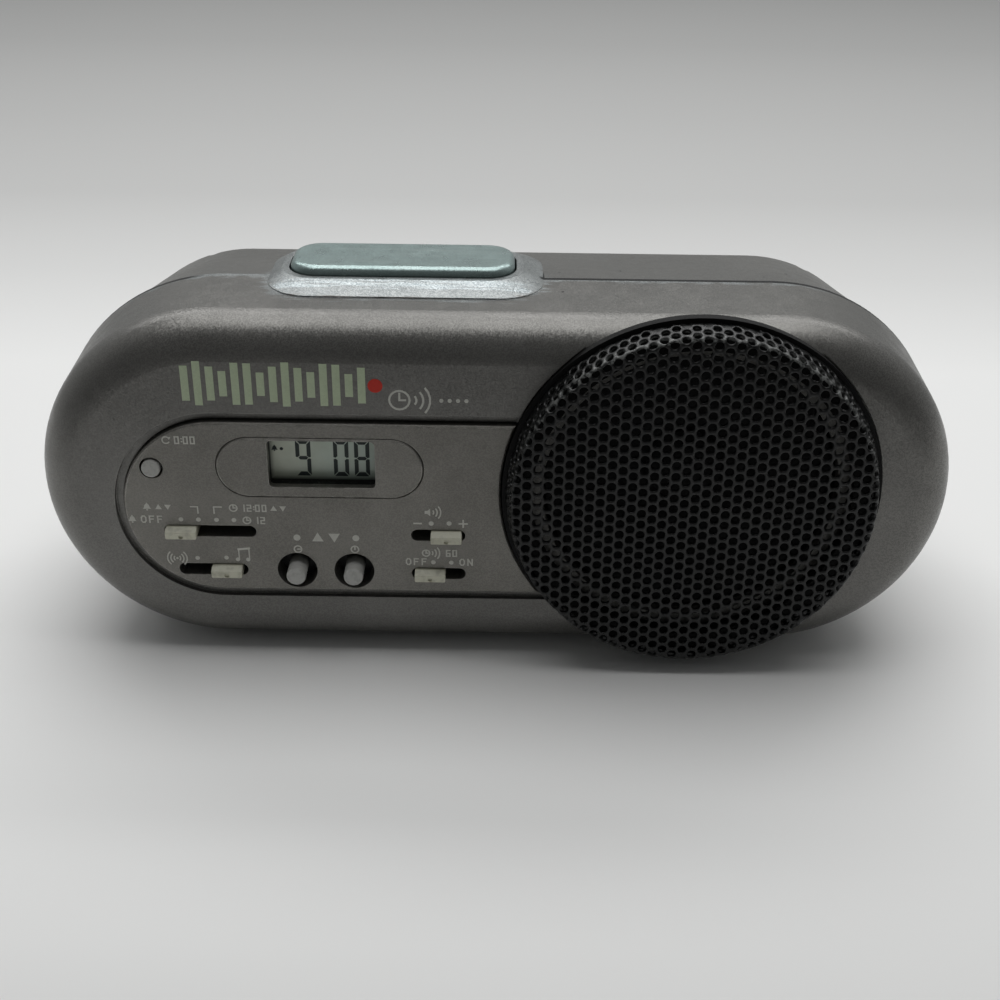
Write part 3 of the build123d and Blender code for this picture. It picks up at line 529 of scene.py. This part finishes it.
def make_grille(look):
    """A perforated sheet in hexagonal cells, drawn to the cup that the CAD grille is."""
    low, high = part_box("speaker_grille")
    front, foot = low.y, high.y
    foot_radius = (high.x - low.x) / 2
    edge_radius = foot_radius - (foot - front) * math.tan(WALL_LEAN)
    bend = math.pi / 2 - WALL_LEAN
    flat_radius = edge_radius - SHOULDER * math.tan(bend / 2)
    bend_length = SHOULDER * bend
    wall_length = (foot - front - SHOULDER * (1 - math.cos(bend))) / math.cos(WALL_LEAN)
    full_radius = flat_radius + bend_length + wall_length

    def drawn(x, z, depth):
        """Where a point of the flat sheet lies once the cup is drawn."""
        reach = math.hypot(x, z)
        if reach >= full_radius:
            depth = SHEET / 2
        along = min(reach, full_radius) - flat_radius
        angle = max(0.0, min(along / SHOULDER, bend))
        rest = max(0.0, along - bend_length)
        radius = min(reach, flat_radius) + SHOULDER * math.sin(angle) + rest * math.cos(angle)
        y = front + SHOULDER * (1 - math.cos(angle)) + rest * math.sin(angle)
        radius -= depth * math.sin(angle)
        y += depth * math.cos(angle)
        turn = math.atan2(z, x)
        return GRILLE_CENTRE + Vector((radius * math.cos(turn), y, radius * math.sin(turn)))

    mesh = bmesh.new()
    column = HOLE_PITCH * math.sqrt(3) / 2
    turns = [2 * math.pi * k / POINTS_ROUND_HOLE for k in range(POINTS_ROUND_HOLE)]
    cell_edge = [HOLE_PITCH / 2 / math.cos(turn % (math.pi / 3) - math.pi / 6) for turn in turns]
    lip, bore = [LIP_RADIUS] * POINTS_ROUND_HOLE, [HOLE_RADIUS] * POINTS_ROUND_HOLE
    count = math.ceil(full_radius / column) + 1

    def ring(x, z, spans, depth):
        return [mesh.verts.new(drawn(x + span * math.cos(turn), z + span * math.sin(turn), depth))
                for span, turn in zip(spans, turns)]

    for i in range(-count, count + 1):
        for j in range(-count, count + 1):
            x, z = i * column, (j + (i % 2) / 2) * HOLE_PITCH
            reach = math.hypot(x, z)
            if reach > full_radius + HOLE_PITCH / 2:
                continue
            if reach + LIP_RADIUS > full_radius - RIM_MARGIN:
                mesh.faces.new(ring(x, z, cell_edge, 0.0)[::-1])
                mesh.faces.new(ring(x, z, cell_edge, SHEET))
                continue
            rings = [ring(x, z, spans, depth) for spans, depth in (
                (cell_edge, 0.0), (lip, 0.0), (bore, LIP_DEPTH), (bore, SHEET), (cell_edge, SHEET))]
            for outer, inner in zip(rings, rings[1:]):
                for k in range(POINTS_ROUND_HOLE):
                    n = (k + 1) % POINTS_ROUND_HOLE
                    mesh.faces.new((outer[k], inner[k], inner[n], outer[n]))
    bmesh.ops.remove_doubles(mesh, verts=mesh.verts, dist=0.004 * MM)
    bmesh.ops.dissolve_degenerate(mesh, edges=mesh.edges, dist=0.002 * MM)
    bmesh.ops.recalc_face_normals(mesh, faces=mesh.faces)
    piece = to_object("perforated_grille", mesh, look)
    shade_smooth(piece, SMOOTH_DEGREES)
    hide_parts("speaker_grille")
    place(piece, "case", "grille_black")


def shorten_springs():
    """The talk bar's springs get a mesh of their own, and stay on the bracket."""
    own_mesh(nodes["talk_bar_springs"])


# Printed marks, drawn in millimetres in the front view. The solids of one ink overlap, so each stands
# a little higher than the one before it, and no two fronts lie in one plane.

PRINT_HEIGHT = 0.03 * MM
SEGMENT_HEIGHT = 0.04 * MM
LAYER = 0.0015 * MM
LAYERS = 11
ARC_STEP_DEGREES = 18


class Ink:
    """Flat shapes of one ink, gathered into one piece."""

    def __init__(self, name, y, thickness=PRINT_HEIGHT):
        self.name, self.y, self.thickness = name, y, thickness
        self.mesh = bmesh.new()
        self.count = 0

    def shape(self, points):
        """A closed outline."""
        self.count += 1
        front_y = self.y - self.thickness - self.count % LAYERS * LAYER
        back = [self.mesh.verts.new((x * MM, self.y, z * MM)) for x, z in points]
        front = [self.mesh.verts.new((x * MM, front_y, z * MM)) for x, z in points]
        self.mesh.faces.new(front)
        self.mesh.faces.new(back[::-1])
        for k in range(len(points)):
            n = (k + 1) % len(points)
            self.mesh.faces.new((front[k], back[k], back[n], front[n]))

    def outline(self, x, z, size, points):
        """A closed outline given in shares of its size."""
        self.shape([(x + size * a, z + size * b) for a, b in points])

    def disc(self, x, z, radius, steps=20):
        turns = [2 * math.pi * k / steps for k in range(steps)]
        self.shape([(x + radius * math.cos(turn), z + radius * math.sin(turn)) for turn in turns])

    def line(self, points, width):
        """A stroke with square ends through these points."""
        for (x0, z0), (x1, z1) in zip(points, points[1:]):
            length = math.hypot(x1 - x0, z1 - z0)
            ax, az = (x1 - x0) / length * width / 2, (z1 - z0) / length * width / 2
            self.shape([(x0 - ax + az, z0 - az - ax), (x1 + ax + az, z1 + az - ax),
                        (x1 + ax - az, z1 + az + ax), (x0 - ax - az, z0 - az + ax)])

    def arc(self, x, z, radius, width, start=0.0, end=360.0):
        steps = max(5, int(abs(end - start) / ARC_STEP_DEGREES))
        turns = [math.radians(start + (end - start) * k / steps) for k in range(steps + 1)]
        inner, outer = radius - width / 2, radius + width / 2
        for a, b in zip(turns, turns[1:]):
            self.shape([(x + reach * math.cos(turn), z + reach * math.sin(turn))
                        for reach, turn in ((outer, a), (outer, b), (inner, b), (inner, a))])

    def done(self, slot):
        bmesh.ops.recalc_face_normals(self.mesh, faces=self.mesh.faces)
        place(to_object(self.name, self.mesh, inks[slot]), "case", slot)


STROKE = 0.25
SEGMENTS = {"0": "abcdef", "1": "bc", "2": "abged", "6": "afgedc", "8": "abcdefg", "9": "abcdfg"}


def label_number(ink, text, x, z, height, stroke=STROKE):
    """Plain numbers made of straight strokes, a colon among them. x and z are the lower left corner."""
    wide, half = height * 0.5, height / 2
    ends = {"a": ((0, height), (wide, height)), "b": ((wide, half), (wide, height)),
            "c": ((wide, 0), (wide, half)), "d": ((0, 0), (wide, 0)), "e": ((0, 0), (0, half)),
            "f": ((0, half), (0, height)), "g": ((0, half), (wide, half))}
    for sign in text:
        if sign == ":":
            for level in (0.28, 0.72):
                ink.disc(x - wide * 0.05, z + height * level, stroke * 0.6, 8)
            x += wide * 0.5
            continue
        for name in SEGMENTS[sign]:
            (x0, z0), (x1, z1) = ends[name]
            ink.line([(x + x0, z + z0), (x + x1, z + z1)], stroke)
        x += wide + 2.2 * stroke


# Strokes of each letter, in shares of its width and height
LETTERS = {
    "O": ((0, 0.25, 0, 0.75), (1, 0.25, 1, 0.75), (0.3, 0, 0.7, 0), (0.3, 1, 0.7, 1), (0.3, 0, 0, 0.25),
          (0.7, 0, 1, 0.25), (0.3, 1, 0, 0.75), (0.7, 1, 1, 0.75)),
    "F": ((0, 0, 0, 1), (0, 1, 0.9, 1), (0, 0.52, 0.75, 0.52)),
    "N": ((0, 0, 0, 1), (1, 0, 1, 1), (0, 1, 1, 0)),
}


def label_letters(ink, word, x, z, height, stroke=STROKE):
    """The generic switch words off and on."""
    wide = height * 0.62
    for letter in word:
        for x0, z0, x1, z1 in LETTERS[letter]:
            ink.line([(x + wide * x0, z + height * z0), (x + wide * x1, z + height * z1)], stroke)
        x += wide + 2.6 * stroke


BELL = ((-0.5, -0.28), (0.5, -0.28), (0.36, -0.08), (0.3, 0.2), (0.14, 0.42), (-0.14, 0.42), (-0.3, 0.2),
        (-0.36, -0.08))
HORN = ((-0.5, -0.2), (-0.2, -0.2), (0.15, -0.5), (0.15, 0.5), (-0.2, 0.2), (-0.5, 0.2))
ARROW = ((-0.5, -0.4), (0.5, -0.4), (0.0, 0.5))
UP, DOWN = 1, -1


def clock_sign(ink, x, z, radius, hands=((0, 0.72), (0.5, 0.0)), stroke=STROKE):
    """A small clock face with its hands, each given as its tip in radii."""
    ink.arc(x, z, radius, stroke)
    for tip_x, tip_z in hands:
        ink.line([(x, z), (x + tip_x * radius, z + tip_z * radius)], stroke)


def bell_sign(ink, x, z, size):
    """A bell: dome with flared rim, clapper and knob."""
    ink.outline(x, z, size, BELL)
    ink.disc(x, z - size * 0.42, size * 0.12, 8)
    ink.disc(x, z + size * 0.5, size * 0.09, 8)


def wave_sign(ink, x, z, step, count, sides=(0, 180), spread=48, stroke=STROKE):
    """Arcs that spread from a point, to one side or to both."""
    for side in sides:
        for k in range(count):
            ink.arc(x, z, step * (k + 1), stroke, side - spread, side + spread)


def note_sign(ink, x, z, size):
    """A pair of joined music notes."""
    for side in (-0.35, 0.35):
        ink.disc(x + size * (side - 0.1), z - size * 0.4, size * 0.15, 10)
        ink.line([(x + size * side, z - size * 0.4), (x + size * side, z + size * 0.42)], size * 0.08)
    ink.line([(x - size * 0.35, z + size * 0.4), (x + size * 0.35, z + size * 0.48)], size * 0.15)


def arrow_sign(ink, x, z, size, way):
    ink.outline(x, z, size, [(a, way * b) for a, b in ARROW][::way])


def make_title():
    """A sound wave of upright bars in pale green, a red disc at its end, and a clock that sounds."""
    bars = Ink("title_bars", CASE_Y)
    count, first_x, pitch, width, middle = 15, -52.6, 2.1, 1.3, 53.75
    for k in range(count):
        tall = 3.4 + 4.6 * abs(math.sin(0.9 * k + 0.7))
        x = first_x + k * pitch
        bars.shape([(x, middle - tall / 2), (x + width, middle - tall / 2), (x + width, middle + tall / 2),
                    (x, middle + tall / 2)])
    bars.done("print_green")
    dot = Ink("title_disc", CASE_Y)
    dot.disc(-20.3, middle, 1.25, 28)
    dot.done("print_red")
    sign = Ink("title_sign", CASE_Y)
    level, stroke = 51.2, 0.36
    clock_sign(sign, -16.3, level, 1.7, ((0, 0.7), (0.55, 0.0)), stroke)
    wave_sign(sign, -14.6, level, 1.15, 3, (0,), 42, stroke)
    for k in range(4):
        sign.disc(-9.3 + k * 1.4, level, stroke, 12)
    sign.done("print_grey")


# Usual sizes of the panel's marks, in millimetres
DOT, BUTTON_DOT = 0.42, 0.62
SMALL_CLOCK, SMALL_ARROW, SMALL_BELL = 0.66, 1.15, 1.4
FIGURES = 1.2
PLUS_STROKE = STROKE * 1.2
MODE_PLACES = (-54.9, -51.86, -48.7, -45.66)


def mode_marks(ink):
    """The mode switch's four places, and what each is for."""
    for x in MODE_PLACES:
        ink.disc(x, 27.98, DOT)
    ink.line([(-53.0, 30.55), (-51.8, 30.55), (-51.8, 29.3)], STROKE)
    ink.line([(-47.7, 30.55), (-49.0, 30.55), (-49.0, 29.3)], STROKE)
    bell_sign(ink, -63.4, 27.9, SMALL_BELL)
    label_letters(ink, "OFF", -61.8, 27.3, 1.25)
    bell_sign(ink, -60.6, 30.4, SMALL_BELL)
    arrow_sign(ink, -58.6, 30.4, SMALL_ARROW, UP)
    arrow_sign(ink, -57.0, 30.4, SMALL_ARROW, DOWN)
    clock_sign(ink, -45.6, 30.4, SMALL_CLOCK)
    label_number(ink, "12:00", -44.3, 29.8, FIGURES)
    arrow_sign(ink, -38.6, 30.4, SMALL_ARROW, UP)
    arrow_sign(ink, -37.0, 30.4, SMALL_ARROW, DOWN)
    clock_sign(ink, -43.4, 27.95, SMALL_CLOCK)
    label_number(ink, "12", -42.1, 27.35, FIGURES)


def alarm_sound_marks(ink):
    ink.disc(-56.3, 20.05, 0.22, 10)
    wave_sign(ink, -56.3, 20.05, 0.58, 3)
    ink.disc(-52.71, 20.15, 0.4)
    ink.disc(-47.58, 20.3, 0.4)
    note_sign(ink, -44.4, 21.0, 2.6)


def hour_and_minute_marks(ink):
    ink.disc(-34.85, 24.6, BUTTON_DOT)
    ink.disc(-24.5, 24.65, BUTTON_DOT)
    arrow_sign(ink, -31.2, 24.7, 2.0, UP)
    arrow_sign(ink, -28.3, 24.7, 2.0, DOWN)
    clock_sign(ink, -34.8, 22.25, SMALL_CLOCK, ((0.6, 0.0),))
    clock_sign(ink, -24.75, 22.35, SMALL_CLOCK, ((0.0, 0.9),))


def volume_marks(ink):
    ink.outline(-11.6, 30.05, 1.5, HORN)
    wave_sign(ink, -11.4, 30.05, 0.62, 3, (0,), 40)
    ink.line([(-14.2, 27.8), (-13.0, 27.8)], PLUS_STROKE)
    ink.line([(-6.3, 27.85), (-5.0, 27.85)], PLUS_STROKE)
    ink.line([(-5.65, 27.2), (-5.65, 28.5)], PLUS_STROKE)
    ink.disc(-11.23, 27.83, 0.44)
    ink.disc(-8.11, 27.88, 0.44)


def report_marks(ink):
    clock_sign(ink, -12.2, 21.8, 0.64)
    wave_sign(ink, -11.6, 21.8, 0.6, 3, (0,), 40)
    label_number(ink, "60", -8.6, 21.2, FIGURES)
    label_letters(ink, "OFF", -15.7, 19.4, FIGURES)
    label_letters(ink, "ON", -6.2, 19.4, FIGURES)
    ink.disc(-10.95, 19.92, DOT)
    ink.disc(-7.76, 19.91, DOT)


def make_labels():
    ink = Ink("panel_labels", PANEL_Y)
    # Reset button: an arrow that turns back to nought
    ink.arc(-56.0, 43.4, 0.62, STROKE, 40, 330)
    arrow_sign(ink, -55.45, 43.75, 0.62, DOWN)
    label_number(ink, "0:00", -54.5, 42.8, 1.25)
    mode_marks(ink)
    alarm_sound_marks(ink)
    hour_and_minute_marks(ink)
    volume_marks(ink)
    report_marks(ink)
    ink.done("print_grey")


# The display, in millimetres. Slants and tips are shares of a segment's thickness.
DIGIT_TALL, DIGIT_WIDE, DIGIT_THICK, DIGIT_GAP = 6.9, 2.62, 0.78, 0.1
DIGIT_BOTTOM = 35.45
DIGITS = (("9", -34.62), ("0", -28.1), ("8", -24.5))
SLANT, TIP = 0.42, 0.45


def make_display():
    """Numbers of seven segments each on the glass, and a bell with a dot beside them."""
    ink = Ink("display_numbers", GLASS_Y, SEGMENT_HEIGHT)
    for sign, left in DIGITS:
        for name in SEGMENTS[sign]:
            points = segment(name, DIGIT_WIDE, DIGIT_TALL, DIGIT_THICK, DIGIT_GAP)
            ink.shape([(left + x, DIGIT_BOTTOM + z) for x, z in points])
    ink.done("lcd_segment")
    ink = Ink("display_sign", GLASS_Y, SEGMENT_HEIGHT)
    bell_sign(ink, -38.2, 40.7, 1.1)
    ink.disc(-37.0, 40.6, 0.3, 10)
    ink.done("lcd_segment")


def segment(name, wide, tall, thick, gap):
    """Outline of one segment, its ends cut at a slant and a gap from its neighbours."""
    half, slope, tip = tall / 2, thick * SLANT, thick * TIP
    if name in "ad":
        outer, inner = (tall, tall - thick) if name == "a" else (0, thick)
        points = [(gap * 1.5, outer), (wide - gap * 1.5, outer), (wide - thick, inner), (thick, inner)]
        return points[::-1] if name == "a" else points
    if name == "g":
        return [(gap + tip, half), (thick, half - slope), (wide - thick, half - slope),
                (wide - gap - tip, half), (wide - thick, half + slope), (thick, half + slope)]
    left, lower = name in "ef", name in "ec"
    outside, inside = (0, thick - gap) if left else (wide, wide - thick + gap)
    tip_x = outside + (tip if left else -tip)
    if lower:
        points = [(outside, gap * 1.5), (inside, thick + gap), (inside, half - slope - gap / 2),
                  (tip_x, half - gap), (outside, half - gap * 2)]
    else:
        points = [(outside, half + gap * 2), (tip_x, half + gap), (inside, half + slope + gap / 2),
                  (inside, tall - thick - gap), (outside, tall - gap * 1.5)]
    return points if left else points[::-1]


# Floor, light and camera. The floor's tones run from its near edge to its far edge: a painted shadow along the
# near edge, painted light round the case, and darker towards the far edge.

FLOOR_HALF = 3.0
FLOOR_NEAR, FLOOR_FAR = -260 * MM, 690 * MM
FLOOR_LIGHT_AND_SHADE_TONES = ((0.0, 90), (0.1, 150), (0.16, 222), (0.19, 236), (0.23, 242), (0.385, 236), (0.461, 214),
               (0.545, 194), (0.663, 186), (0.832, 179), (1.0, 182))
# Name, place, aim, size and power of each lamp
LAMPS = (
    ("overhead", (0.0, 0.09, 0.85), (0.0, 0.0, 0.0), (0.9, 0.6), 4.1),
    ("behind", (0.0, 0.5, 0.62), (0.0, 0.0, 0.06), (1.3, 0.17), 2.7),
)
ROOM_COLOUR = (0.98, 1.0, 1.0, 1.0)
VIEWER_SIDE, FAR_SIDE = 0.1, 0.34
VIEWER_END, FAR_END = -0.55, 0.45
# A pinhole fitted to points of the photograph
FOCAL_PX, PICTURE_PX, SENSOR_MM = 1421.65, 1000, 36.0
CAMERA_PLACE = Vector((0.915, -240.86, 151.62)) * MM
PITCH_DOWN, YAW, ROLL = math.radians(28.935), math.radians(-0.052), math.radians(0.774)


def make_floor():
    look = Look("pale_floor", Roughness=0.75)
    away = look.add("MapRange")
    for socket, number in zip(away.inputs, (look.axis("Y"), FLOOR_NEAR, FLOOR_FAR)):
        look.feed(socket, number)
    # Painted shadow and painted light on the floor, in its tones from near to far
    tones = look.add("ValToRGB")
    stops = tones.color_ramp.elements
    stops.remove(stops[1])
    for share, tone in FLOOR_LIGHT_AND_SHADE_TONES:
        stop = stops[0] if share == 0 else stops.new(share)
        stop.color = srgb(tone, tone, tone - 1)
    look.feed(tones.inputs[0], away.outputs[0])
    look.set("Base Color", tones.outputs[0])
    look.set("Normal", look.bump(look.noise(1.5 * MM, 3.0), 0.02 * MM, 0.3))
    mesh = bmesh.new()
    mesh.faces.new([mesh.verts.new((x * FLOOR_HALF, y * FLOOR_HALF, 0.0))
                    for x, y in ((-1, -1), (1, -1), (1, 1), (-1, 1))])
    to_object("floor", mesh, look.material)


def make_lamp(name, spot, aim, size, power):
    lamp = bpy.data.lights.new(name, "AREA")
    lamp.shape = "RECTANGLE"
    lamp.size, lamp.size_y = size
    lamp.energy = power
    thing = bpy.data.objects.new(name, lamp)
    thing.location = spot
    thing.rotation_euler = (Vector(aim) - Vector(spot)).to_track_quat("-Z", "Y").to_euler()
    bpy.context.scene.collection.objects.link(thing)


def make_world():
    """A pale room, darker on the viewer's side, so that the front is shaded as in the photograph."""
    world = bpy.data.worlds.new("studio")
    world.use_nodes = True
    tree = world.node_tree
    background = tree.nodes["Background"]
    background.inputs["Color"].default_value = ROOM_COLOUR
    parts = tree.nodes.new("ShaderNodeSeparateXYZ")
    tree.links.new(tree.nodes.new("ShaderNodeTexCoord").outputs["Generated"], parts.inputs[0])
    ramp = tree.nodes.new("ShaderNodeMapRange")
    ramp.interpolation_type = "SMOOTHSTEP"
    for socket, number in zip(ramp.inputs, (0.0, VIEWER_END, FAR_END, VIEWER_SIDE, FAR_SIDE)):
        socket.default_value = number
    tree.links.new(parts.outputs["Y"], ramp.inputs[0])
    tree.links.new(ramp.outputs[0], background.inputs["Strength"])
    bpy.context.scene.world = world


def make_camera():
    forward = Vector((math.sin(YAW) * math.cos(PITCH_DOWN), math.cos(YAW) * math.cos(PITCH_DOWN),
                      -math.sin(PITCH_DOWN)))
    right = Vector((math.cos(YAW), -math.sin(YAW), 0.0))
    up = right.cross(forward)
    side = math.cos(ROLL) * right + math.sin(ROLL) * up
    top = math.cos(ROLL) * up - math.sin(ROLL) * right
    data = bpy.data.cameras.new("camera")
    data.sensor_width = SENSOR_MM
    data.lens = FOCAL_PX / PICTURE_PX * SENSOR_MM
    data.clip_start, data.clip_end = 0.01, 20.0
    camera = bpy.data.objects.new("camera", data)
    camera.matrix_world = Matrix((side, top, -forward)).transposed().to_4x4()
    camera.location = CAMERA_PLACE
    bpy.context.scene.collection.objects.link(camera)
    bpy.context.scene.camera = camera


make_camera()
looks = make_looks()
inks = {name: print_look(name, srgb(*colour)) for name, colour in (
    ("print_green", (196, 210, 178)), ("print_red", (206, 44, 24)), ("print_grey", (206, 206, 198)),
    ("lcd_segment", (44, 54, 52)))}
make_grille(looks["grille_black"])
make_title()
make_labels()
make_display()
shorten_springs()
make_floor()
for row in LAMPS:
    make_lamp(*row)
make_world()
bpy.context.scene.view_settings.view_transform = "Standard"
